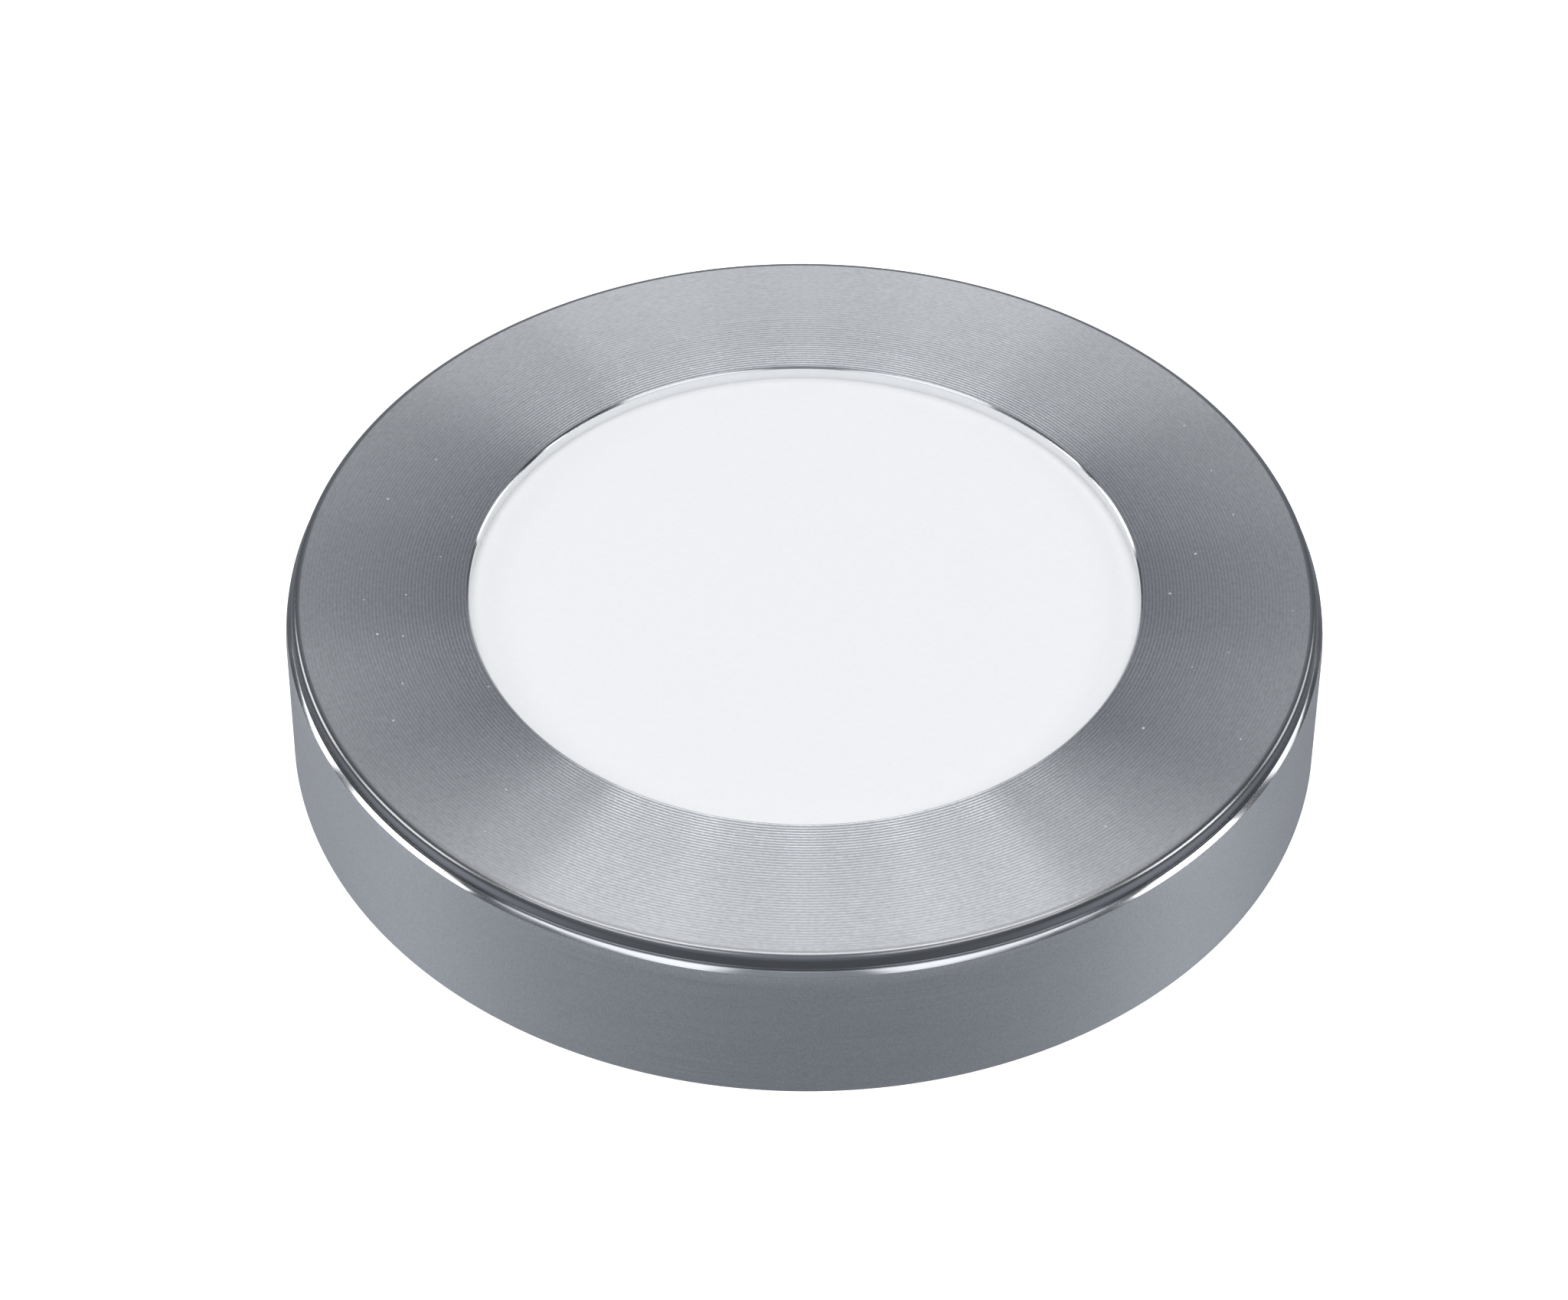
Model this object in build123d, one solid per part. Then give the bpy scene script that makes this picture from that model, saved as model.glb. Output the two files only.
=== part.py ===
"""A round LED puck light, 70 mm across and 12 mm high, lying on its back.

A turned aluminium bezel with a skirt holds an opal lens, an edge-lit light guide and a small
driver board. Three bent leaf springs on the skirt grip the bore of a surface ring, which is
screwed to a shelf or a cabinet. The leads leave through a notch in the back of that ring.

All sizes are in millimetres. The origin is the centre of the ring's back face, +Z points to
the lens, and +Y to the notch for the leads.
"""

import os
from math import cos, pi, sqrt

from build123d import *

# How far a cutting tool reaches past the face that it opens
over = 1.0

# Surface ring
ring_diameter = 70.0
ring_wall = 2.2
ring_edge = 0.25
bore_lead_in = 0.3
base_thickness = 1.8
base_width = 9.6
mount_hole_count = 3
mount_hole_angle = 60.0
mount_hole_diameter = 3.2
mount_head_diameter = 5.8
notch_margin = 0.6
notch_corner = 1.0

# Bezel
ring_ledge = 0.5
bezel_thickness = 1.2
bezel_chamfer = 0.3
face_width = 11.75
aperture_chamfer = 0.2
clip_space = 4.3
skirt_wall = 1.9
flat_depth = 0.5

# Optical stack, from the face down
lens_recess = 1.0
lens_thickness = 1.2
guide_thickness = 2.0
guide_led_gap = 0.4
film_thickness = 0.3
foam_thickness = 0.8
stack_clearance = 0.3

# Ring of light-emitting diodes
led_count = 36
led_width = 3.0
led_height = 1.4
led_depth = 0.7
strip_thickness = 0.2
strip_glue = 0.05
strip_gap = 0.6

# Rear cover
cover_clearance = 0.1
cover_floor = 1.0
cover_rim = 2.0
under_gap = 0.8

# Driver board and what is on it
pad_thickness = 0.2
pad_inset = 2.0
board_thickness = 0.8
board_margin = 1.5
head_room = 0.3
parts_side = 6.0
parts_row = 8.5
inductor_size = 6.0
inductor_drum = 5.7
inductor_height = 1.8
inductor_foot = 0.6
inductor_corner = 1.0
chip_length = 4.9
chip_width = 3.9
chip_height = 1.5
chip_legs_a_side = 4
leg_width = 0.4
leg_reach = 1.0
leg_thickness = 0.2
leg_pitch = 1.27
bridge_length = 4.7
bridge_width = 3.9
bridge_height = 1.6
bridge_legs_a_side = 2
bridge_leg_pitch = 2.5
capacitor_length = 3.2
capacitor_width = 1.6
capacitor_height = 1.6
capacitor_pitch = 2.8
capacitor_count = 3
resistor_length = 2.0
resistor_width = 1.25
resistor_height = 0.5
resistor_pitch = 2.6
resistor_count = 6
end_cap = 0.4
cap_skin = 0.05

# Inlet
socket_width = 5.8
socket_length = 7.6
socket_wall = 0.6
socket_back_wall = 1.6
socket_setback = 0.3
socket_clearance = 0.1
pin_size = 0.5
pin_pitch = 2.0
pin_tail = 2.0
pin_end_gap = 1.4

# Leads from the board to the strip
lead_diameter = 0.7
lead_pitch = 1.6
lead_bend = 1.8
lead_sides = 8
lead_pad_inset = 2.5
lead_slot_margin = 0.5
lead_wall_gap = 0.1

# Leaf springs and their screws
clip_count = 3
clip_thickness = 0.4
clip_width = 8.0
clip_bend = 0.8
clip_clearance = 0.3
clip_crest_height = 1.0
clip_crest_radius = 0.8
clip_tip_turn = 1.2
clip_tip_height = 1.4
clip_top_gap = 1.2
clip_foot_gap = 0.1
clip_corner = 1.2
screw_diameter = 1.7
screw_thread_clearance = 0.05
screw_hole_clearance = 0.15
screw_head_diameter = 3.0
screw_head_height = 0.9
screw_head_gap = 0.1
screw_end_gap = 0.3
driver_clearance = 0.2
cross_width = 0.4
cross_depth = 0.45
cross_margin = 0.7

# Places across the part
ring_radius = ring_diameter / 2
bore_radius = ring_radius - ring_wall
base_opening_radius = bore_radius - base_width
mount_circle_radius = bore_radius - base_width / 2
bezel_radius = ring_radius - ring_ledge
aperture_radius = bezel_radius - face_width
skirt_radius = bore_radius - clip_space
skirt_bore = skirt_radius - skirt_wall
skirt_flat = skirt_radius - flat_depth
stack_radius = skirt_bore - stack_clearance
strip_outer = skirt_bore - strip_glue
led_back = strip_outer * cos(pi / led_count) - strip_thickness
guide_radius = led_back - led_depth - guide_led_gap
cover_radius = skirt_bore - cover_clearance
rim_radius = cover_radius - cover_rim
board_radius = rim_radius - board_margin

# Heights above the back face
unit_z = base_thickness + under_gap
floor_z = unit_z + cover_floor
board_z = floor_z + pad_thickness
parts_z = board_z + board_thickness
rim_z = parts_z + inductor_height + head_room
film_z = rim_z + foam_thickness
guide_z = film_z + film_thickness
lens_z = guide_z + guide_thickness
lens_top_z = lens_z + lens_thickness
face_z = lens_top_z + lens_recess
seat_z = face_z - bezel_thickness
clip_foot_z = unit_z + clip_foot_gap + clip_thickness / 2
clip_top_z = seat_z - clip_top_gap
screw_z = clip_foot_z + clip_bend + screw_head_diameter / 2 + screw_head_gap

# Inlet, set by the board that its pins lie on
pin_z = parts_z + pin_size / 2
socket_top_z = rim_z - head_room
socket_height = 2 * (socket_top_z - pin_z)
socket_front = skirt_radius - socket_setback
socket_back = socket_front - socket_length
slot_width = socket_width + 2 * socket_clearance
pad_reach = socket_back - socket_clearance - pad_inset
notch_width = socket_width + 2 * notch_margin
notch_top_z = socket_top_z + socket_clearance

# Leads, set by the wall that they rise along
lead_radius = lead_diameter / 2
lead_out = skirt_bore - lead_wall_gap - lead_radius
lead_pad = board_radius - lead_pad_inset
lead_slot_width = lead_pitch + lead_diameter + 2 * lead_slot_margin


def turned(points):
    """A solid of revolution about Z, from (radius, height) points."""
    return revolve(Plane.XZ * make_face(Polyline(*points, close=True)), Axis.Z)


def disc(radius, low, high):
    """A flat disc between two heights."""
    return Pos(0, 0, low) * Cylinder(radius, high - low, align=(Align.CENTER, Align.CENTER, Align.MIN))


def block(low, high):
    """A box between two opposite corners."""
    size = [b - a for a, b in zip(low, high)]
    centre = [(a + b) / 2 for a, b in zip(low, high)]
    return Pos(*centre) * Box(*size)


def radial_rod(radius, near, far, height, angle=0.0):
    """A round rod that lies along a radius of the part."""
    plane = Plane(origin=(near, 0, height), x_dir=(0, 1, 0), z_dir=(1, 0, 0))
    rod = Cylinder(radius, far - near, align=(Align.CENTER, Align.CENTER, Align.MIN))
    return Rot(0, 0, angle) * (plane * rod)


def clip_angles():
    return [360 / clip_count * i for i in range(clip_count)]


def socket_slot(height):
    """The gap behind the socket's walls, open downward, up to a height."""
    half = slot_width / 2
    return block((-half, socket_back - socket_clearance, -over), (half, ring_radius, height))


def surface_ring():
    """The turned ring that is screwed to the shelf, with its base flange and notch."""
    body = turned([
        (base_opening_radius, 0),
        (ring_radius, 0),
        (ring_radius, seat_z - ring_edge),
        (ring_radius - ring_edge, seat_z),
        (bore_radius + bore_lead_in, seat_z),
        (bore_radius, seat_z - bore_lead_in),
        (bore_radius, base_thickness),
        (base_opening_radius, base_thickness),
    ])
    hole_radius = mount_hole_diameter / 2
    head_radius = mount_head_diameter / 2
    sink = head_radius - hole_radius
    hole = turned([
        (0, -over),
        (hole_radius, -over),
        (hole_radius, base_thickness - sink),
        (head_radius, base_thickness),
        (head_radius, base_thickness + over),
        (0, base_thickness + over),
    ])
    for i in range(mount_hole_count):
        turn = Rot(0, 0, mount_hole_angle + 360 / mount_hole_count * i)
        body -= turn * Pos(mount_circle_radius, 0, 0) * hole
    half = notch_width / 2
    notch = block((-half, 0, -over), (half, ring_radius + over, notch_top_z))
    top_edges = notch.edges().filter_by(Axis.Y).group_by(Axis.Z)[-1]
    return body - fillet(top_edges, notch_corner)


def bezel_ring():
    """The turned bezel: flat face, polished edges, lens lip and the skirt behind it."""
    body = turned([
        (aperture_radius, lens_top_z),
        (aperture_radius, face_z - aperture_chamfer),
        (aperture_radius + aperture_chamfer, face_z),
        (bezel_radius - bezel_chamfer, face_z),
        (bezel_radius, face_z - bezel_chamfer),
        (bezel_radius, seat_z),
        (skirt_radius, seat_z),
        (skirt_radius, unit_z),
        (skirt_bore, unit_z),
        (skirt_bore, lens_top_z),
    ])
    flat_top = clip_top_z + clip_foot_gap
    flat = block((skirt_flat, -skirt_radius, unit_z - over), (skirt_radius + over, skirt_radius, flat_top))
    hole_radius = screw_diameter / 2 + screw_hole_clearance
    for angle in clip_angles():
        body -= Rot(0, 0, angle) * flat
        body -= radial_rod(hole_radius, rim_radius, skirt_radius + over, screw_z, angle)
    return body - socket_slot(socket_top_z + socket_clearance)


def diffuser_lens():
    """The opal disc that shows in the aperture, pressed up against the bezel's lip."""
    return disc(stack_radius, lens_z, lens_top_z)


def light_guide():
    """The clear disc that the diodes shine into from its edge."""
    return disc(guide_radius, guide_z, lens_z)


def lead_notch(low, high):
    """The cut-out in a disc of the stack where the two leads pass."""
    half = lead_slot_width / 2
    inner = lead_out - lead_radius - lead_slot_margin
    return block((-half, -skirt_radius, low - over), (half, -inner, high + over))


def reflector_film():
    return disc(stack_radius, film_z, guide_z) - lead_notch(film_z, guide_z)


def foam_pad():
    """The foam disc that presses the stack against the lens lip."""
    return disc(stack_radius, rim_z, film_z) - lead_notch(rim_z, film_z)


def led_strip():
    """The flexible circuit band around the guide, flat behind each diode, open where its ends meet."""
    height = lens_z - guide_z
    corner = led_back / cos(pi / led_count)
    outline = RegularPolygon(strip_outer, led_count) - RegularPolygon(corner, led_count)
    band = extrude(Pos(0, 0, guide_z) * outline, height)
    half = strip_gap / 2
    return band - block((-half, -skirt_radius, guide_z - over), (half, 0, lens_z + over))


def leds():
    """The diodes, one on each flat of the band, facing the guide."""
    middle = (guide_z + lens_z) / 2
    low = (led_back - led_depth, -led_width / 2, middle - led_height / 2)
    high = (led_back, led_width / 2, middle + led_height / 2)
    step = 360 / led_count
    return [Rot(0, 0, step * (i + 0.5)) * block(low, high) for i in range(led_count)]


def rear_cover():
    """The shallow pan behind the board. Its rim carries the stack and takes the screws."""
    body = turned([
        (0, unit_z),
        (cover_radius, unit_z),
        (cover_radius, rim_z),
        (rim_radius, rim_z),
        (rim_radius, floor_z),
        (0, floor_z),
    ])
    half = lead_slot_width / 2
    body -= block((-half, -skirt_radius, parts_z), (half, -board_radius, rim_z + over))
    thread_radius = screw_diameter / 2 + screw_thread_clearance
    for angle in clip_angles():
        body -= radial_rod(thread_radius, board_radius, skirt_radius, screw_z, angle)
    return body - socket_slot(rim_z + over)


def board_pad():
    """The square of thermal tape that holds the board to the cover."""
    half = pad_reach / sqrt(2)
    return block((-half, -half, floor_z), (half, half, board_z))


def driver_board():
    """The round board, with the gap that the socket stands in."""
    return disc(board_radius, board_z, parts_z) - socket_slot(parts_z + over)


def packaged_part(length, width, height, legs_a_side, pitch):
    """A moulded package with flat legs along its two long sides, standing at height zero."""
    body = block((-length / 2, -width / 2, 0), (length / 2, width / 2, height))
    reach = width / 2 + leg_reach
    for i in range(legs_a_side):
        x = (i - (legs_a_side - 1) / 2) * pitch
        body += block((x - leg_width / 2, -reach, 0), (x + leg_width / 2, reach, leg_thickness))
    return body


def driver_chip():
    chip = packaged_part(chip_length, chip_width, chip_height, chip_legs_a_side, leg_pitch)
    return Pos(parts_side, 0, parts_z) * chip


def bridge_rectifier():
    bridge = packaged_part(bridge_length, bridge_width, bridge_height, bridge_legs_a_side, bridge_leg_pitch)
    return Pos(-parts_side, parts_row, parts_z) * bridge


def inductor():
    """A ferrite drum on a square foot with cut corners."""
    half = inductor_size / 2
    foot = block((-half, -half, 0), (half, half, inductor_foot))
    foot = chamfer(foot.edges().filter_by(Axis.Z), inductor_corner)
    drum = disc(inductor_drum / 2, inductor_foot, inductor_height)
    return Pos(-parts_side, 0, parts_z) * (foot + drum)


def end_capped(length, width, height):
    """A chip part with a slightly thicker metal cap on each end."""
    body = block((-length / 2, -width / 2, cap_skin), (length / 2, width / 2, height - cap_skin))
    for side in (-1, 1):
        inner = side * (length / 2 - end_cap)
        outer = side * length / 2
        low = (min(inner, outer), -width / 2 - cap_skin, 0)
        high = (max(inner, outer), width / 2 + cap_skin, height)
        body += block(low, high)
    return body


def row_of(part, count, pitch, x, y):
    """Copies of a part in a row along X, centred on a place on the board."""
    first = x - (count - 1) / 2 * pitch
    return [Pos(first + i * pitch, y, parts_z) * part for i in range(count)]


def capacitors():
    one = Rot(0, 0, 90) * end_capped(capacitor_length, capacitor_width, capacitor_height)
    return row_of(one, capacitor_count, capacitor_pitch, parts_side, parts_row)


def resistors():
    one = Rot(0, 0, 90) * end_capped(resistor_length, resistor_width, resistor_height)
    return row_of(one, resistor_count, resistor_pitch, 0, -parts_row)


def inlet_socket():
    """The two-pole socket that faces the ring's notch."""
    half = socket_width / 2
    low_z = socket_top_z - socket_height
    body = block((-half, socket_back, low_z), (half, socket_front, socket_top_z))
    mouth = block(
        (-half + socket_wall, socket_back + socket_back_wall, low_z + socket_wall),
        (half - socket_wall, socket_front + over, socket_top_z - socket_wall),
    )
    body -= mouth
    for pin in pin_blocks(0):
        body -= pin
    return body


def pin_blocks(end_gap):
    """The two square pins, from their tails on the board to short of the socket's mouth."""
    pins = []
    for side in (-1, 1):
        x = side * pin_pitch / 2
        low = (x - pin_size / 2, socket_back - pin_tail, parts_z)
        high = (x + pin_size / 2, socket_front - end_gap, parts_z + pin_size)
        pins.append(block(low, high))
    return pins


def inlet_pins():
    return pin_blocks(pin_end_gap)


def board_lead(side):
    """One insulated lead: from its pad on the board, out through the rim and up to the strip."""
    x = side * lead_pitch / 2
    run_z = parts_z + lead_radius
    path = FilletPolyline(
        (x, -lead_pad, run_z),
        (x, -lead_out, run_z),
        (x, -lead_out, guide_z),
        radius=lead_bend,
    )
    section = RegularPolygon(lead_radius, lead_sides, major_radius=False, rotation=180 / lead_sides)
    return sweep(Plane(origin=path @ 0, x_dir=(1, 0, 0), z_dir=path % 0) * section, path=path)


def clip_path():
    """The middle line of a leaf spring in the plane of its radius."""
    leg = skirt_flat + clip_thickness / 2
    crest = bore_radius - clip_clearance - clip_thickness / 2
    crest_top = clip_top_z - clip_tip_height
    return FilletPolyline(
        (leg, clip_top_z),
        (leg, clip_foot_z),
        (leg + 2 * clip_bend, clip_foot_z),
        (crest, crest_top - clip_crest_height),
        (crest, crest_top),
        (crest - clip_tip_turn, clip_top_z),
        radius=[clip_bend, clip_bend, clip_crest_radius, clip_crest_radius],
    )


def spring_clip(angle):
    """A leaf spring bent from strip: a leg on the skirt's flat, a U-turn, and a bowed blade."""
    band = Plane.XZ * trace(clip_path(), line_width=clip_thickness)
    blade = extrude(band, clip_width / 2, both=True)
    ends = [e for e in blade.edges() if abs(e.length - clip_thickness) < clip_thickness / 100]
    blade = chamfer(ends, clip_corner)
    driver_radius = screw_head_diameter / 2 + driver_clearance
    leg_hole = screw_diameter / 2 + screw_hole_clearance
    blade -= radial_rod(leg_hole, skirt_flat - over, skirt_radius + clip_bend, screw_z)
    blade -= radial_rod(driver_radius, skirt_flat + clip_thickness + clip_bend, bore_radius, screw_z)
    return Rot(0, 0, angle) * blade


def clip_screws():
    """The pan-head screws that hold each spring to the skirt and the skirt to the cover."""
    seat = skirt_flat + clip_thickness
    shank = seat - rim_radius - screw_end_gap
    head_radius = screw_head_diameter / 2
    radius = screw_diameter / 2
    profile = make_face(Polyline(
        (0, -shank),
        (radius, -shank),
        (radius, 0),
        (head_radius, 0),
        (head_radius, screw_head_height),
        (0, screw_head_height),
        close=True,
    ))
    screw = revolve(Plane.XZ * profile, Axis.Z)
    reach = head_radius - cross_margin
    low_z = screw_head_height - cross_depth
    for long_x, long_y in ((reach, cross_width / 2), (cross_width / 2, reach)):
        screw -= block((-long_x, -long_y, low_z), (long_x, long_y, screw_head_height + over))
    place = Plane(origin=(seat, 0, screw_z), x_dir=(0, 1, 0), z_dir=(1, 0, 0))
    return [Rot(0, 0, angle) * (place * screw) for angle in clip_angles()]


def pieces():
    """Every node's name with its solid or its list of separate solids."""
    made = {
        "surface_ring": surface_ring(),
        "bezel_ring": bezel_ring(),
        "diffuser_lens": diffuser_lens(),
        "light_guide": light_guide(),
        "reflector_film": reflector_film(),
        "foam_pad": foam_pad(),
        "led_strip": led_strip(),
        "leds": leds(),
        "rear_cover": rear_cover(),
        "board_pad": board_pad(),
        "driver_board": driver_board(),
        "driver_chip": driver_chip(),
        "bridge_rectifier": bridge_rectifier(),
        "inductor": inductor(),
        "capacitors": capacitors(),
        "resistors": resistors(),
        "inlet_socket": inlet_socket(),
        "inlet_pins": inlet_pins(),
        "lead_positive": board_lead(1),
        "lead_negative": board_lead(-1),
        "clip_screws": clip_screws(),
    }
    for number, angle in enumerate(clip_angles(), start=1):
        made[f"spring_clip_{number}"] = spring_clip(angle)
    return made


os.makedirs("parts", exist_ok=True)
for name, shape in pieces().items():
    solids = shape if isinstance(shape, list) else [shape]
    found = [solid for one in solids for solid in one.solids()]
    whole = found[0] if len(found) == 1 else Compound(children=found)
    export_step(whole, f"parts/{name}.step")
    print(name, len(found), "solids,", round(sum(s.volume for s in found), 2), "mm3")
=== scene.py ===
"""Studio picture of a round LED puck light, 70 mm across, lying on its back.

The turned bezel and the surface ring are modelled here with their tool marks, rounded edges,
screw holes and slots. The other pieces keep their CAD shapes and get their finishes here.
"""

from math import atan2, cos, pi, radians, sin, sqrt, tan

import bpy
import numpy as np
from mathutils import Euler, Matrix, Vector


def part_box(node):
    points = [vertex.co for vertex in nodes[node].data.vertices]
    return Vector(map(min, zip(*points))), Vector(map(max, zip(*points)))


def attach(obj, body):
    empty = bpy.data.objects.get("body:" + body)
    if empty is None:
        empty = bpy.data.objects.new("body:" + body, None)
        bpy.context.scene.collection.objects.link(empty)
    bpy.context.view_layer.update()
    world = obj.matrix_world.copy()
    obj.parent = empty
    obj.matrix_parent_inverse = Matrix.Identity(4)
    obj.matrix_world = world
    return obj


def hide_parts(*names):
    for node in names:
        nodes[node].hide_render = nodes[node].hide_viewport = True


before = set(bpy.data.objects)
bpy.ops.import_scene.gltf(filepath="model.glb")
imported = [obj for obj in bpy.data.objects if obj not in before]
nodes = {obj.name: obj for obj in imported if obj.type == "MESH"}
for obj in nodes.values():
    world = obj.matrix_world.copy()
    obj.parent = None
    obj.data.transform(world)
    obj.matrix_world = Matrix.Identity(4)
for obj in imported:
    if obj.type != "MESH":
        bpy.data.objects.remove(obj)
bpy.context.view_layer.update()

MM = 0.001

# Places read from the frame
ring_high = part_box("surface_ring")[1]
bezel_low, bezel_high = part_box("bezel_ring")
lens_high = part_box("diffuser_lens")[1]
socket_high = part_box("inlet_socket")[1]
screws_low, screws_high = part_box("clip_screws")

ring_radius = ring_high.x
ring_top = ring_high.z
bezel_radius = bezel_high.x
face_z = bezel_high.z
unit_z = bezel_low.z
lens_top = lens_high.z

# Surface ring
ring_wall = 2.2 * MM
ring_edge = 0.27 * MM
shoulder_depth = 0.11 * MM
shoulder_height = 1.0 * MM
bore_lead_in = 0.3 * MM
base_thickness = 1.8 * MM
base_width = 9.6 * MM
mount_hole_count = 3
mount_hole_angle = radians(60)
mount_hole_radius = 1.6 * MM
mount_head_radius = 2.9 * MM
notch_margin = 0.6 * MM
notch_corner = 1.0 * MM

# Bezel
bezel_chamfer = 0.3 * MM
face_width = 11.87 * MM
aperture_chamfer = 0.15 * MM
clip_space = 4.3 * MM
skirt_wall = 1.9 * MM
flat_depth = 0.5 * MM
flat_top = 9.7 * MM
clip_count = 3
screw_hole_radius = 1.0 * MM
socket_gap = 0.1 * MM

# Tool marks and softened edges
groove_pitch = 0.235 * MM
groove_depth = 0.018 * MM
groove_fade = 0.6
groove_run_in = 3
groove_steps = 6
edge_round = 0.05 * MM
rim_round = 0.45 * MM
round_steps = 5
segments = 216
hole_sides = 32
crisp_angle = radians(25)

# How far a cutting tool reaches past the metal
over = 1.0 * MM

bore_radius = ring_radius - ring_wall
base_opening = bore_radius - base_width
mount_circle = bore_radius - base_width / 2
aperture_radius = bezel_radius - face_width
skirt_radius = bore_radius - clip_space
skirt_bore = skirt_radius - skirt_wall
skirt_flat = skirt_radius - flat_depth
face_outer = bezel_radius - bezel_chamfer - rim_round * tan(pi / 8) - edge_round
face_inner = aperture_radius + aperture_chamfer + edge_round
groove_count = round((face_outer - face_inner) / groove_pitch)
true_pitch = (face_outer - face_inner) / groove_count

# Camera
camera_distance = 0.3584
camera_elevation = radians(42.61)
camera_roll = radians(0.564)
camera_lens = 122.1
camera_shift_x = -0.0133
camera_shift_y = -0.0418

# Lights, and how bright the room is above and below the horizon
fan_angle = radians(31)
strip_count = 9
strip_front = -0.20
strip_middle = 0.12
strip_back = 0.60
strip_height = 0.7
front_width = 0.06
front_radiance = 1.92
rear_width = 0.033
rear_radiance = 0.80
edge_gain = 0.25
streak_gain = 0.15
outer_angle = radians(42)
outer_width = 0.05
outer_radiance = 0.85
side_radiance = 3.6
corner_radiance = 2.6
near_radiance = 1.1
box_width = 0.22
fill_radiance = 0.74
fill_height = 0.9
fill_size = 1.2
floor_level = 0.16
room_level = 0.08
horizon_blend = 0.1
room_tint = (0.92, 0.97, 1.06)

# Grain of the finishes
quarter_turn = 0.25
speck_spacing = 4.5 * MM
speck_size = 0.022
satin_grain = 0.12 * MM
opal_grain = 0.35 * MM
cover_pitch = 0.3 * MM
steel_line = 3.0 * MM

# Finish of each stretch of a profile; the bezel's outer rim has painted shade in its colour
SATIN, TURNED, POLISHED, SHADED_RIM, BORE = range(5)


def rounded(corners):
    """A closed (radius, height, finish) loop with its marked corners rounded.

    Each corner is (radius, height, rounding, finish), and the finish is that of the stretch
    which starts there."""
    loop = []
    count = len(corners)
    for i, (x, y, size, finish) in enumerate(corners):
        here = Vector((x, y))
        back = Vector(corners[i - 1][:2]) - here
        ahead = Vector(corners[(i + 1) % count][:2]) - here
        if not size:
            loop.append((x, y, finish))
            continue
        turn = back.angle(ahead)
        reach = size / tan(turn / 2)
        start = here + back.normalized() * reach
        end = here + ahead.normalized() * reach
        centre = here + (back.normalized() + ahead.normalized()).normalized() * (size / sin(turn / 2))
        first = atan2(start.y - centre.y, start.x - centre.x)
        sweep = atan2(end.y - centre.y, end.x - centre.x) - first
        sweep = (sweep + pi) % (2 * pi) - pi
        for step in range(round_steps + 1):
            angle = first + sweep * step / round_steps
            spot = centre + size * Vector((cos(angle), sin(angle)))
            loop.append((spot.x, spot.y, finish))
    return loop


def lathe(name, loop, metals):
    """A closed solid of revolution from a loop that runs counter-clockwise in (radius, height)."""
    count = len(loop)
    angles = np.arange(segments) * 2 * pi / segments
    radius = np.array([p[0] for p in loop])
    height = np.array([p[1] for p in loop])
    points = np.empty((segments, count, 3))
    points[:, :, 0] = np.cos(angles)[:, None] * radius
    points[:, :, 1] = np.sin(angles)[:, None] * radius
    points[:, :, 2] = height
    near = np.arange(segments)[:, None] * count
    far = (np.arange(segments)[:, None] + 1) % segments * count
    j = np.arange(count)
    k = (j + 1) % count
    quads = np.stack([near + j, far + j, far + k, near + k], axis=-1).reshape(-1, 4)
    mesh = bpy.data.meshes.new(name)
    mesh.from_pydata(points.reshape(-1, 3).tolist(), [], quads.tolist())
    for metal in metals:
        mesh.materials.append(metal)
    mesh.polygons.foreach_set("material_index", np.tile([p[2] for p in loop], segments))
    return linked(name, mesh)


def linked(name, mesh):
    """An object in the scene for a mesh."""
    piece = bpy.data.objects.new(name, mesh)
    bpy.context.scene.collection.objects.link(piece)
    return piece


def prism(outline, low, high):
    """Corners and faces of a straight block on a closed outline, between two heights."""
    count = len(outline)
    corners = [(x, y, z) for z in (low, high) for x, y in outline]
    sides = [(i, (i + 1) % count, (i + 1) % count + count, i + count) for i in range(count)]
    caps = [tuple(reversed(range(count))), tuple(range(count, 2 * count))]
    return corners, sides + caps


def solid(name, parts):
    """One mesh from several (matrix, corners, faces) blocks."""
    corners, faces = [], []
    for matrix, block_corners, block_faces in parts:
        first = len(corners)
        corners += [matrix @ Vector(c) for c in block_corners]
        faces += [[first + i for i in face] for face in block_faces]
    mesh = bpy.data.meshes.new(name)
    mesh.from_pydata(corners, [], faces)
    return linked(name, mesh)


def rectangle(x0, x1, y0, y1):
    return [(x0, y0), (x1, y0), (x1, y1), (x0, y1)]


def circle(radius):
    angles = [2 * pi * i / hole_sides for i in range(hole_sides)]
    return [(radius * cos(a), radius * sin(a)) for a in angles]


def cut(piece, *tools):
    """Takes the tools' solids out of a piece and removes them."""
    for tool in tools:
        modifier = piece.modifiers.new(tool.name, "BOOLEAN")
        modifier.operation = "DIFFERENCE"
        modifier.solver = "EXACT"
        modifier.object = tool
    shaped = piece.evaluated_get(bpy.context.evaluated_depsgraph_get())
    old = piece.data
    piece.data = bpy.data.meshes.new_from_object(shaped)
    piece.data.name = piece.name
    piece.modifiers.clear()
    bpy.data.meshes.remove(old)
    for tool in tools:
        bpy.data.objects.remove(tool)


def smooth(piece):
    """Smooth shading with the sharper edges kept crisp."""
    mesh = piece.data
    mesh.polygons.foreach_set("use_smooth", [True] * len(mesh.polygons))
    mesh.set_sharp_from_angle(angle=crisp_angle)


def clip_turns():
    """A turn about the axis for each spring."""
    return [Matrix.Rotation(2 * pi * i / clip_count, 4, "Z") for i in range(clip_count)]


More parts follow.
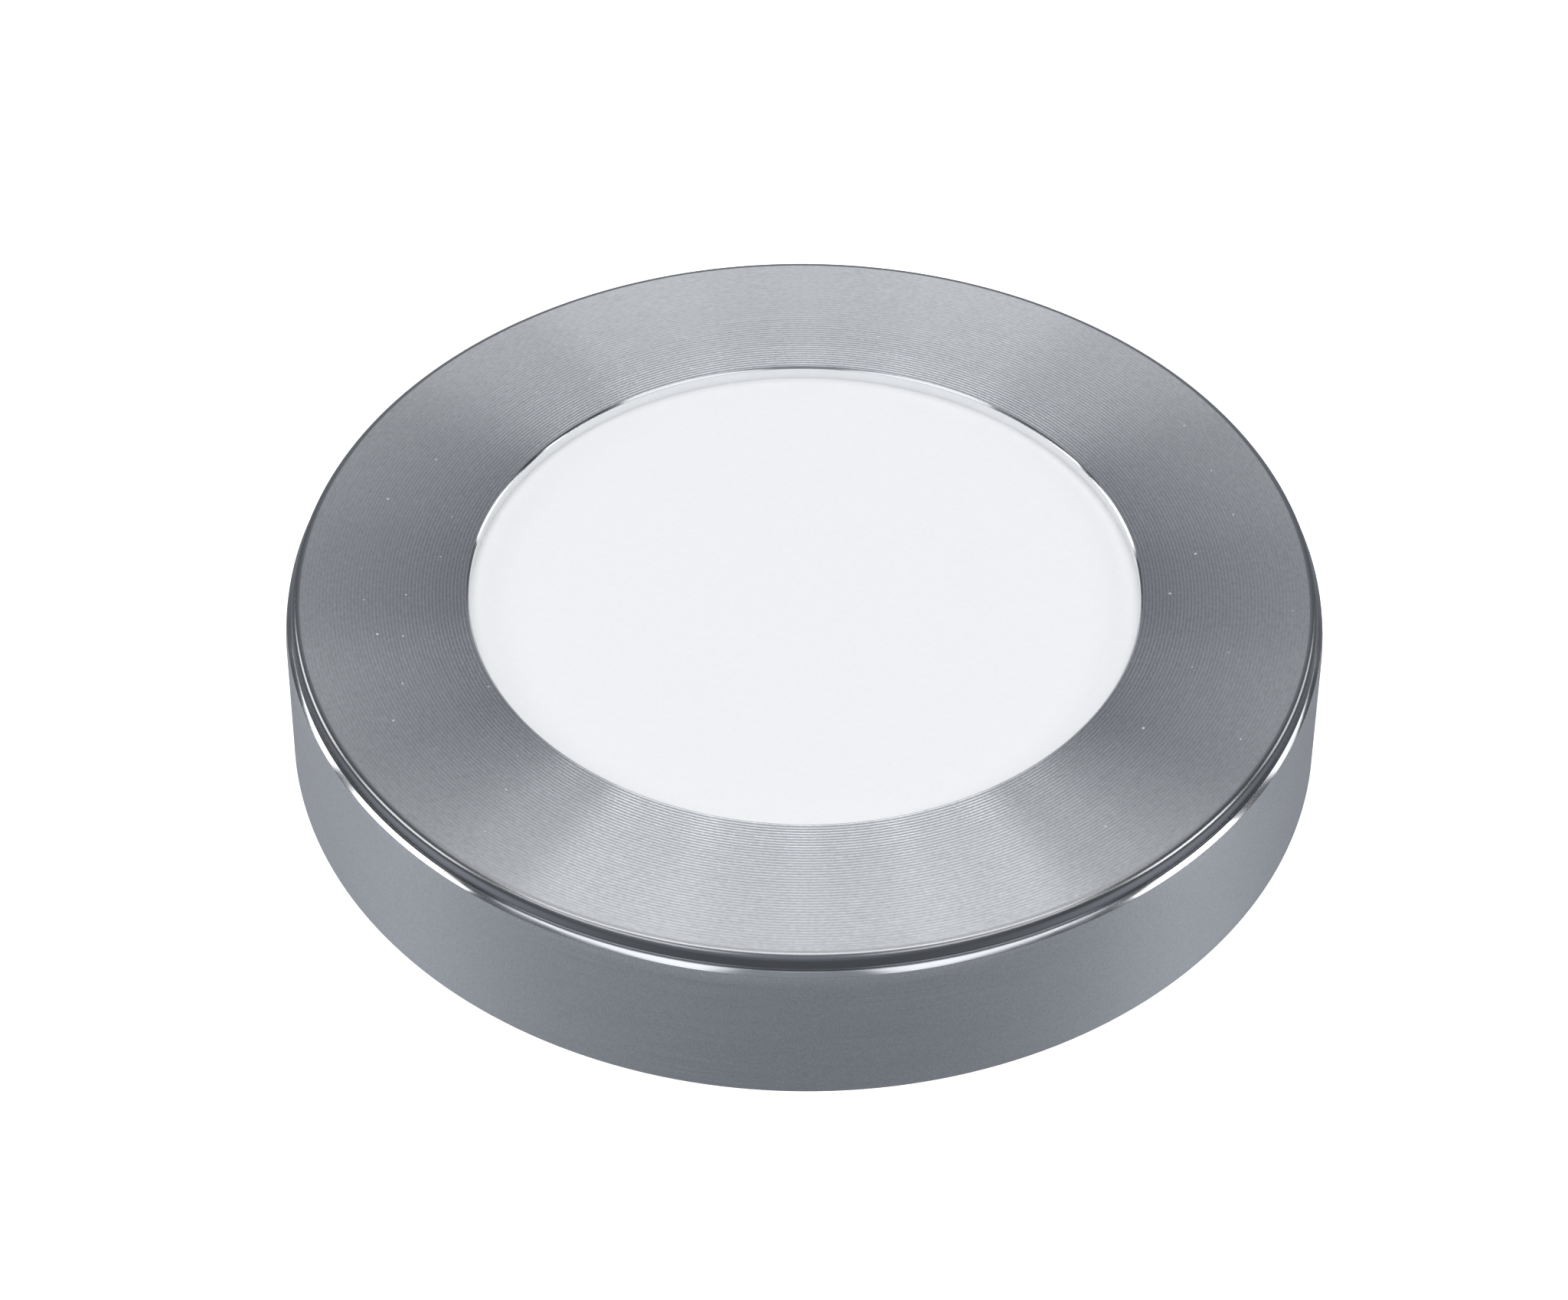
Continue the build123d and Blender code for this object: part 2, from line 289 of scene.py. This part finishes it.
def groove_marks():
    """The scalloped line that the tool leaves on the face, from the outer edge inward.

    The tool eases in over the first few grooves, and they stay shallower towards the outside."""
    marks = []
    for i in range(groove_count * groove_steps + 1):
        across = i % groove_steps / groove_steps
        inward = i / (groove_count * groove_steps)
        run_in = min(1, i / (groove_run_in * groove_steps))
        full_depth = groove_depth * run_in * (1 - groove_fade * (1 - inward))
        depth = full_depth * 4 * across * (1 - across)
        marks.append((face_outer - true_pitch * i / groove_steps, face_z - depth, TURNED))
    return marks


def make_bezel(metals):
    """The turned bezel with its grooved face, polished edges, lens lip and skirt."""
    outside = rounded([
        (skirt_bore, unit_z, 0, SATIN),
        (skirt_radius, unit_z, edge_round, SATIN),
        (skirt_radius, ring_top, 0, SATIN),
        (bezel_radius, ring_top, edge_round, SHADED_RIM),
        (bezel_radius, face_z - bezel_chamfer, rim_round, SHADED_RIM),
        (bezel_radius - bezel_chamfer, face_z, rim_round, SHADED_RIM),
        (aperture_radius + aperture_chamfer, face_z, edge_round, POLISHED),
        (aperture_radius, face_z - aperture_chamfer, edge_round, BORE),
        (aperture_radius, lens_top, 0, SATIN),
        (skirt_bore, lens_top, 0, SATIN),
    ])
    middle = (bezel_radius + aperture_radius) / 2
    face_end = max(i for i, p in enumerate(outside) if p[0] > middle) + 1
    loop = outside[:face_end] + groove_marks() + outside[face_end:]
    bezel = lathe("bezel", loop, metals)
    chord = rectangle(skirt_flat, skirt_radius + over, -skirt_radius, skirt_radius)
    flat = prism(chord, unit_z - over, flat_top)
    screw_z = (screws_low.z + screws_high.z) / 2
    rod = prism(circle(screw_hole_radius), skirt_bore - over, skirt_radius + over)
    lie_down = Matrix.Translation((0, 0, screw_z)) @ Matrix.Rotation(pi / 2, 4, "Y")
    half = socket_high.x + socket_gap
    slot_top = socket_high.z + socket_gap
    slot = prism(rectangle(-half, half, skirt_bore - over, ring_radius), unit_z - over, slot_top)
    flats = solid("flats", [(turn, *flat) for turn in clip_turns()] + [(Matrix(), *slot)])
    holes = solid("holes", [(turn @ lie_down, *rod) for turn in clip_turns()])
    cut(bezel, flats, holes)
    return bezel


def make_ring(metals):
    """The turned ring with its base flange, countersunk holes and the notch for the leads."""
    edge_radius = ring_radius - shoulder_depth
    edge_z = ring_top - ring_edge
    shoulder = [
        (ring_radius - shoulder_depth * (step / round_steps) ** 2,
         edge_z - shoulder_height * (1 - step / round_steps), 0, SATIN)
        for step in range(round_steps)
    ]
    ring = lathe("ring", rounded([
        (base_opening, 0, edge_round, SATIN),
        (ring_radius, 0, 2 * edge_round, SATIN),
        *shoulder,
        (edge_radius, edge_z, edge_round, POLISHED),
        (edge_radius - ring_edge, ring_top, edge_round, POLISHED),
        (bore_radius + bore_lead_in, ring_top, edge_round, POLISHED),
        (bore_radius, ring_top - bore_lead_in, edge_round, SATIN),
        (bore_radius, base_thickness, 2 * edge_round, SATIN),
        (base_opening, base_thickness, edge_round, SATIN),
    ]), metals)
    sink = mount_head_radius - mount_hole_radius
    levels = [
        (mount_hole_radius, -over),
        (mount_hole_radius, base_thickness - sink),
        (mount_head_radius + over, base_thickness + over),
    ]
    corners = [(x, y, z) for radius, z in levels for x, y in circle(radius)]
    faces = [tuple(reversed(range(hole_sides))), tuple(range(2 * hole_sides, 3 * hole_sides))]
    for level in range(len(levels) - 1):
        for i in range(hole_sides):
            k = (i + 1) % hole_sides
            low = level * hole_sides
            faces.append((low + i, low + k, low + hole_sides + k, low + hole_sides + i))
    holes = []
    for i in range(mount_hole_count):
        turn = Matrix.Rotation(mount_hole_angle + 2 * pi * i / mount_hole_count, 4, "Z")
        holes.append((turn @ Matrix.Translation((mount_circle, 0, 0)), corners, faces))
    half = socket_high.x + notch_margin
    top = socket_high.z + socket_gap
    arch = [(-half, -over), (half, -over)]
    for side, first in ((1, 0), (-1, pi / 2)):
        for step in range(round_steps * 2 + 1):
            angle = first + pi / 2 * step / (round_steps * 2)
            x = side * (half - notch_corner) + notch_corner * cos(angle)
            arch.append((x, top - notch_corner + notch_corner * sin(angle)))
    stand = Matrix.Rotation(pi / 2, 4, "X")
    notch = prism(arch, -ring_radius - over, -skirt_radius)
    holes.append((stand, *notch))
    cut(ring, solid("holes", holes))
    return ring


class Finish:
    """A material with its shader, and short calls that add and join nodes."""

    def __init__(self, name, color, metallic, roughness, ior=1.5):
        self.material = bpy.data.materials.new(name)
        self.material.use_nodes = True
        self.tree = self.material.node_tree
        self.shader = self.tree.nodes["Principled BSDF"]
        self.shader.inputs["Base Color"].default_value = (*color, 1)
        self.shader.inputs["Metallic"].default_value = metallic
        self.shader.inputs["Roughness"].default_value = roughness
        self.shader.inputs["IOR"].default_value = ior
        self.color = color
        self.roughness = roughness

    def node(self, kind, **settings):
        made = self.tree.nodes.new(kind)
        for key, value in settings.items():
            setattr(made, key, value)
        return made

    def join(self, source, target):
        self.tree.links.new(source, target)

    def place(self):
        """The spot on the piece, in metres, which moves with the piece."""
        return self.node("ShaderNodeTexCoord").outputs["Object"]

    def polar(self, around, across, along):
        """The spot as (direction from the axis, radius plus height), each multiplied.

        The direction is a point on a circle, so that nothing shows a seam."""
        split = self.node("ShaderNodeSeparateXYZ")
        self.join(self.place(), split.inputs[0])
        flat = self.node("ShaderNodeCombineXYZ")
        self.join(split.outputs["X"], flat.inputs["X"])
        self.join(split.outputs["Y"], flat.inputs["Y"])
        unit = self.node("ShaderNodeVectorMath", operation="NORMALIZE")
        self.join(flat.outputs[0], unit.inputs[0])
        spread = self.node("ShaderNodeVectorMath", operation="SCALE")
        spread.inputs["Scale"].default_value = around
        self.join(unit.outputs[0], spread.inputs[0])
        out = self.math("MULTIPLY", self.radius(), across)
        up = self.math("MULTIPLY", split.outputs["Z"], along)
        lift = self.node("ShaderNodeCombineXYZ")
        self.join(self.math("ADD", out, up), lift.inputs["Z"])
        total = self.node("ShaderNodeVectorMath", operation="ADD")
        self.join(spread.outputs[0], total.inputs[0])
        self.join(lift.outputs[0], total.inputs[1])
        return total.outputs[0]

    def radius(self):
        """Distance from the piece's axis."""
        flat = self.node("ShaderNodeVectorMath", operation="MULTIPLY")
        flat.inputs[1].default_value = (1, 1, 0)
        self.join(self.place(), flat.inputs[0])
        length = self.node("ShaderNodeVectorMath", operation="LENGTH")
        self.join(flat.outputs[0], length.inputs[0])
        return length.outputs["Value"]

    def math(self, operation, first, second):
        """One sum on two values, each a node's output or a number."""
        made = self.node("ShaderNodeMath", operation=operation)
        for socket, value in zip(made.inputs, (first, second)):
            if isinstance(value, (int, float)):
                socket.default_value = value
            else:
                self.join(value, socket)
        return made.outputs[0]

    def rings(self, start, pitch):
        """A wave across the tool marks: 1 on each ridge and 0 in each valley."""
        turns = self.math("MULTIPLY", self.math("SUBTRACT", start, self.radius()), 2 * pi / pitch)
        return self.ranged(self.math("COSINE", turns, 0), 0, 1, -1, 1)

    def noise(self, vector, scale, detail):
        made = self.node("ShaderNodeTexNoise")
        made.inputs["Scale"].default_value = scale
        made.inputs["Detail"].default_value = detail
        self.join(vector, made.inputs["Vector"])
        return made.outputs["Fac"]

    def specks(self, apart, size):
        """Scattered dots of many sizes: 1 inside a dot and 0 outside. The size is a share of
        the distance between them."""
        made = self.node("ShaderNodeTexVoronoi", voronoi_dimensions="2D")
        made.inputs["Scale"].default_value = 1 / apart
        self.join(self.place(), made.inputs["Vector"])
        largest = self.math("MULTIPLY", made.outputs["Color"], size)
        return self.math("LESS_THAN", made.outputs["Distance"], largest)

    def ranged(self, source, low, high, start=0.3, end=0.7):
        """A value that goes from low to high while the source goes from start to end."""
        made = self.node("ShaderNodeMapRange")
        made.inputs["From Min"].default_value = start
        made.inputs["From Max"].default_value = end
        made.inputs["To Min"].default_value = low
        made.inputs["To Max"].default_value = high
        self.join(source, made.inputs["Value"])
        return made.outputs["Result"]

    def mottle(self, source, spread, start=0.3, end=0.7):
        """Base colour that varies by a share of itself."""
        ramp = self.node("ShaderNodeMix", data_type="RGBA")
        ramp.inputs["A"].default_value = (*[c * (1 - spread) for c in self.color], 1)
        ramp.inputs["B"].default_value = (*[min(1, c * (1 + spread)) for c in self.color], 1)
        self.join(self.ranged(source, 0, 1, start, end), ramp.inputs["Factor"])
        self.join(ramp.outputs["Result"], self.shader.inputs["Base Color"])

    def vary_roughness(self, source, spread):
        level = self.ranged(source, self.roughness - spread, self.roughness + spread)
        self.join(level, self.shader.inputs["Roughness"])

    def bump(self, source, height):
        """Relief of a real height in metres."""
        made = self.node("ShaderNodeBump")
        made.inputs["Strength"].default_value = 1.0
        made.inputs["Distance"].default_value = height
        self.join(source, made.inputs["Height"])
        self.join(made.outputs["Normal"], self.shader.inputs["Normal"])

    def brushed_round(self, amount):
        """Highlights that run across the marks of turning about the piece's axis."""
        tangent = self.node("ShaderNodeTangent", direction_type="RADIAL", axis="Z")
        self.join(tangent.outputs[0], self.shader.inputs["Tangent"])
        self.shader.inputs["Anisotropic"].default_value = amount
        self.shader.inputs["Anisotropic Rotation"].default_value = quarter_turn


def turned_metal():
    """Aluminium faced on a lathe: painted highlight on each ridge and painted shade in each valley of
    the tool marks, grain, and passes that differ a little in gloss.
    """
    finish = Finish("turned_aluminium", (0.74, 0.75, 0.77), 1.0, 0.31)
    finish.brushed_round(1.0)
    passes = finish.noise(finish.polar(0.6, 1 / true_pitch, 0), 2.1, 3)
    grain = finish.noise(finish.polar(60, 1 / true_pitch, 0), 1.4, 2)
    # Painted highlight and shade: base colour lighter on each ridge and darker in each valley,
    # strongest near the aperture
    fade = finish.ranged(finish.radius(), 0.70, 0.12, face_inner, face_outer)
    ridge_light_valley_shade = finish.math("SUBTRACT", finish.rings(face_outer, true_pitch), 0.5)
    marks = finish.math("MULTIPLY", ridge_light_valley_shade, fade)
    tone = finish.math("ADD", marks, finish.math("MULTIPLY", grain, 0.8))
    finish.mottle(tone, 0.22, 0, 0.8)
    outward = finish.ranged(finish.radius(), -0.03, 0.03, face_inner, face_outer)
    gloss = finish.math("ADD", finish.ranged(passes, 0.27, 0.32), outward)
    finish.join(gloss, finish.shader.inputs["Roughness"])
    bare = finish.ranged(finish.radius(), 1.0, 0.86, face_inner, face_outer)
    clean = finish.math("SUBTRACT", 1, finish.specks(speck_spacing, speck_size))
    finish.join(finish.math("MULTIPLY", bare, clean), finish.shader.inputs["Metallic"])
    return finish.material


def satin_metal():
    """Aluminium with fine marks of turning under a bead-blasted grain."""
    finish = Finish("satin_aluminium", (0.78, 0.80, 0.835), 1.0, 0.5)
    finish.brushed_round(0.8)
    lines = finish.noise(finish.polar(3, 0, 1 / satin_grain), 1.0, 2)
    grain = finish.noise(finish.place(), 1 / satin_grain, 3)
    finish.mottle(grain, 0.10)
    finish.vary_roughness(lines, 0.05)
    finish.bump(grain, 0.002 * MM)
    return finish.material


def polished_metal():
    """The bright edges, cut last with a sharp tool."""
    finish = Finish("polished_aluminium", (0.60, 0.61, 0.63), 1.0, 0.13)
    streaks = finish.noise(finish.polar(9, 0, 0), 1.0, 2)
    finish.mottle(streaks, 0.05)
    finish.vary_roughness(streaks, 0.04)
    return finish.material


def rim_metal_painted_shade():
    """The rolled outer edge of the bezel, in painted shade: a darker base colour than the other
    metals, darker still below the face's edge, in place of the shade and dark reflections towards the
    gap above the ring.
    """
    # Painted shade: the dark base colour stands in for shade and dark reflections on the rim
    finish = Finish("rim_aluminium_painted_shade", (0.45, 0.455, 0.47), 1.0, 0.22)
    height = finish.node("ShaderNodeSeparateXYZ")
    finish.join(finish.place(), height.inputs[0])
    # Painted shade: lighter just under the face, darker further down the rim
    finish.mottle(height.outputs["Z"], 0.12, face_z - 0.1 * MM, face_z)
    return finish.material


def bore_metal():
    """The bright wall around the lens."""
    finish = Finish("bright_aluminium", (0.88, 0.885, 0.895), 1.0, 0.25)
    streaks = finish.noise(finish.polar(9, 0, 0), 1.0, 2)
    finish.mottle(streaks, 0.02)
    finish.vary_roughness(streaks, 0.04)
    return finish.material


def opal():
    """Milky acrylic with a faint grain."""
    finish = Finish("opal_acrylic", (0.94, 0.945, 0.952), 0.0, 0.42, 1.42)
    grain = finish.noise(finish.place(), 1 / opal_grain, 3)
    finish.mottle(grain, 0.012)
    finish.bump(grain, 0.002 * MM)
    return finish.material


def plain(name, color, metallic, roughness, size, spread, relief=0.0):
    """A finish with grain of one size, in millimetres, in its tone, gloss and relief."""
    finish = Finish(name, color, metallic, roughness)
    grain = finish.noise(finish.place(), 1 / (size * MM), 3)
    finish.mottle(grain, spread)
    finish.vary_roughness(grain, min(0.08, roughness / 3))
    if relief:
        finish.bump(grain, relief * MM)
    return finish.material


def clear_plastic():
    finish = Finish("clear_acrylic", (0.97, 0.98, 0.98), 0.0, 0.08, 1.49)
    finish.shader.inputs["Transmission Weight"].default_value = 0.9
    haze = finish.noise(finish.place(), 1 / (2.0 * MM), 2)
    finish.vary_roughness(haze, 0.03)
    finish.mottle(haze, 0.01)
    return finish.material


def spring_steel():
    """Cold-rolled strip with lines along its length."""
    finish = Finish("spring_steel", (0.56, 0.55, 0.52), 1.0, 0.26)
    lines = finish.noise(finish.polar(40, 0, 1 / steel_line), 1.5, 3)
    finish.mottle(lines, 0.08)
    finish.vary_roughness(lines, 0.06)
    return finish.material


def turned_cover():
    """Spun aluminium, with fine rings on its back."""
    finish = Finish("spun_aluminium", (0.55, 0.57, 0.60), 1.0, 0.36)
    finish.brushed_round(0.7)
    passes = finish.noise(finish.polar(0.6, 1 / cover_pitch, 0), 1.3, 3)
    finish.mottle(passes, 0.10)
    finish.vary_roughness(passes, 0.05)
    finish.bump(passes, 0.003 * MM)
    return finish.material


def paint_nodes():
    """Finishes for the pieces that keep their CAD shapes, by the record's material slots."""
    finishes = {
        "opal": opal(),
        "clear_plastic": clear_plastic(),
        "white_film": plain("white_film", (0.86, 0.86, 0.85), 0.0, 0.45, 0.8, 0.02, 0.002),
        "foam": plain("grey_foam", (0.18, 0.18, 0.19), 0.0, 0.9, 0.3, 0.25, 0.06),
        "strip_white": plain("strip_white", (0.82, 0.82, 0.80), 0.0, 0.5, 0.6, 0.03, 0.002),
        "diode": plain("diode_yellow", (0.90, 0.78, 0.38), 0.0, 0.4, 0.5, 0.05, 0.004),
        "cover_metal": turned_cover(),
        "tape": plain("thermal_tape", (0.42, 0.50, 0.55), 0.0, 0.7, 0.4, 0.08, 0.01),
        "board_green": plain("solder_mask", (0.03, 0.19, 0.09), 0.0, 0.32, 1.5, 0.15, 0.004),
        "package_black": plain("moulded_black", (0.025, 0.025, 0.027), 0.0, 0.5, 0.15, 0.2, 0.005),
        "ferrite": plain("ferrite", (0.06, 0.058, 0.055), 0.0, 0.55, 0.2, 0.25, 0.01),
        "capacitor_tan": plain("ceramic_tan", (0.50, 0.37, 0.22), 0.0, 0.4, 0.4, 0.08, 0.003),
        "socket_white": plain("socket_nylon", (0.80, 0.79, 0.74), 0.0, 0.42, 0.5, 0.03, 0.004),
        "pin_metal": plain("tinned_brass", (0.78, 0.76, 0.70), 1.0, 0.25, 0.4, 0.06),
        "lead_red": plain("lead_red", (0.55, 0.03, 0.03), 0.0, 0.4, 0.6, 0.08, 0.003),
        "lead_black": plain("lead_black", (0.03, 0.03, 0.03), 0.0, 0.4, 0.6, 0.15, 0.003),
        "screw_steel": plain("zinc_plated_steel", (0.62, 0.63, 0.64), 1.0, 0.27, 0.5, 0.08, 0.002),
        "spring_steel": spring_steel(),
    }
    for piece in nodes.values():
        finish = finishes.get(piece.data.materials[0].name)
        if finish:
            piece.data.materials[0] = finish


def make_floor():
    """A large pale disc that the light lies on."""
    floor_radius = 4.0
    floor_thickness = 0.02
    floor = solid("floor", [(Matrix(), *prism(circle(floor_radius), -floor_thickness, 0))])
    finish = Finish("floor_white", (0.93, 0.93, 0.93), 0.0, 0.9)
    finish.mottle(finish.noise(finish.place(), 3.0, 2), 0.005)
    finish.shader.inputs["Emission Color"].default_value = (1, 1, 1, 1)
    finish.shader.inputs["Emission Strength"].default_value = 0.9
    floor.data.materials.append(finish.material)
    floor.visible_glossy = False


def area_light(name, place, turn, width, length, radiance):
    """A flat rectangular lamp of a given brightness."""
    lamp = bpy.data.lights.new(name, "AREA")
    lamp.shape = "RECTANGLE"
    lamp.size = width
    lamp.size_y = length
    lamp.energy = radiance * pi * width * length
    holder = bpy.data.objects.new(name, lamp)
    holder.location = place
    holder.rotation_euler = turn
    bpy.context.scene.collection.objects.link(holder)
    return holder


def make_lights():
    """A fan of strip lamps overhead, with soft boxes at the sides, rear corners and in front.

    On a turned face a lamp shows as a radial streak. The strips run together towards the back,
    so that each keeps one streak's place all along."""
    lean = cos(camera_elevation)

    def across(slope, y):
        return slope * (lean * sqrt(y * y + strip_height * strip_height) - y)

    def strip(name, slope, front, back, width, radiance):
        start = Vector((across(slope, front), front))
        end = Vector((across(slope, back), back))
        turn = atan2(start.x - end.x, end.y - start.y)
        place = (*(start + end) / 2, strip_height)
        area_light(name, place, (0, 0, turn), width, (end - start).length, radiance)

    for i in range(strip_count):
        share = 2 * i / (strip_count - 1) - 1
        slope = tan(fan_angle * share)
        gain = (1 + edge_gain * share * share) * (1 + streak_gain * (-1) ** i)
        strip(f"front_strip_{i}", slope, strip_front, strip_middle, front_width, front_radiance * gain)
        strip(f"rear_strip_{i}", slope, strip_middle, strip_back, rear_width, rear_radiance * gain)
    for slope, name in ((-tan(outer_angle), "left"), (tan(outer_angle), "right")):
        strip(f"{name}_strip", slope, strip_middle, strip_back, outer_width, outer_radiance)
    fill = area_light("fill", (0, 0, fill_height), (0, 0, 0), fill_size, fill_size, fill_radiance)
    fill.visible_glossy = False
    for name, place, length, radiance in (
        ("left_side", (-0.80, -0.08, 0.36), 0.42, 0.7 * side_radiance),
        ("right_side", (0.80, -0.12, 0.36), 0.34, side_radiance),
        ("left_corner", (-0.75, 0.36, 0.25), 0.36, corner_radiance),
        ("right_corner", (0.75, 0.36, 0.25), 0.36, 0.7 * corner_radiance),
        ("left_near", (-0.43, -0.47, 0.63), 0.60, 1.2 * near_radiance),
        ("right_near", (0.43, -0.47, 0.63), 0.60, 1.2 * near_radiance),
    ):
        turn = (-Vector(place)).to_track_quat("-Z", "Y").to_euler()
        area_light(name, place, turn, length, box_width, radiance)


def make_world():
    """Dim surroundings, with soft glows behind, in front, low behind, and low at the left and right.

    Each glow is the way to its middle, its sharpness and its strength."""
    world = bpy.data.worlds.new("studio")
    world.use_nodes = True
    tree = world.node_tree
    background = tree.nodes["Background"]
    direction = tree.nodes.new("ShaderNodeTexCoord").outputs["Generated"]
    glows = (
        ((0.0, 0.75, 0.66), 4, 0.17),
        ((-0.1, -0.77, 0.64), 3, 0.30),
        ((0.0, 1.0, -0.2), 6, 0.30),
        ((-0.78, -0.05, -0.62), 9, 0.34),
        ((0.78, -0.05, -0.62), 9, 0.32),
    )
    split = tree.nodes.new("ShaderNodeSeparateXYZ")
    tree.links.new(direction, split.inputs[0])
    level = tree.nodes.new("ShaderNodeMapRange")
    level.inputs["From Min"].default_value = -horizon_blend
    level.inputs["From Max"].default_value = horizon_blend
    level.inputs["To Min"].default_value = floor_level
    level.inputs["To Max"].default_value = room_level
    tree.links.new(split.outputs["Z"], level.inputs["Value"])
    total = level.outputs["Result"]
    for aim, sharpness, strength in glows:
        dot = tree.nodes.new("ShaderNodeVectorMath")
        dot.operation = "DOT_PRODUCT"
        dot.inputs[1].default_value = Vector(aim).normalized()
        tree.links.new(direction, dot.inputs[0])
        source = dot.outputs["Value"]
        for operation, value in (("MAXIMUM", 0), ("POWER", sharpness), ("MULTIPLY", strength)):
            step = tree.nodes.new("ShaderNodeMath")
            step.operation = operation
            step.inputs[1].default_value = value
            tree.links.new(source, step.inputs[0])
            source = step.outputs[0]
        add = tree.nodes.new("ShaderNodeMath")
        tree.links.new(total, add.inputs[0])
        tree.links.new(source, add.inputs[1])
        total = add.outputs[0]
    background.inputs["Color"].default_value = (*room_tint, 1)
    tree.links.new(total, background.inputs["Strength"])
    bpy.context.scene.world = world


def make_camera():
    """The photograph's view: from the front and well above the horizon."""
    data = bpy.data.cameras.new("camera")
    data.sensor_width = 36
    data.lens = camera_lens
    data.shift_x = camera_shift_x
    data.shift_y = camera_shift_y
    data.clip_start = 0.01
    data.clip_end = 20
    camera = bpy.data.objects.new("camera", data)
    back = -camera_distance * cos(camera_elevation)
    camera.location = (0, back, face_z + camera_distance * sin(camera_elevation))
    look = Euler((pi / 2 - camera_elevation, 0, 0)).to_matrix()
    camera.rotation_euler = (look @ Matrix.Rotation(camera_roll, 3, "Z")).to_euler()
    bpy.context.scene.collection.objects.link(camera)
    bpy.context.scene.camera = camera


metals = [satin_metal(), turned_metal(), polished_metal(), rim_metal_painted_shade(), bore_metal()]

bezel = make_bezel(metals)
ring = make_ring(metals)
for piece, node, body, slot in (
    (bezel, "bezel_ring", "light_unit", "bezel_metal"),
    (ring, "surface_ring", "ring", "ring_metal"),
):
    smooth(piece)
    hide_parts(node)
    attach(piece, body)

paint_nodes()
make_floor()
make_lights()
make_world()
make_camera()
bpy.context.scene.view_settings.view_transform = "Standard"
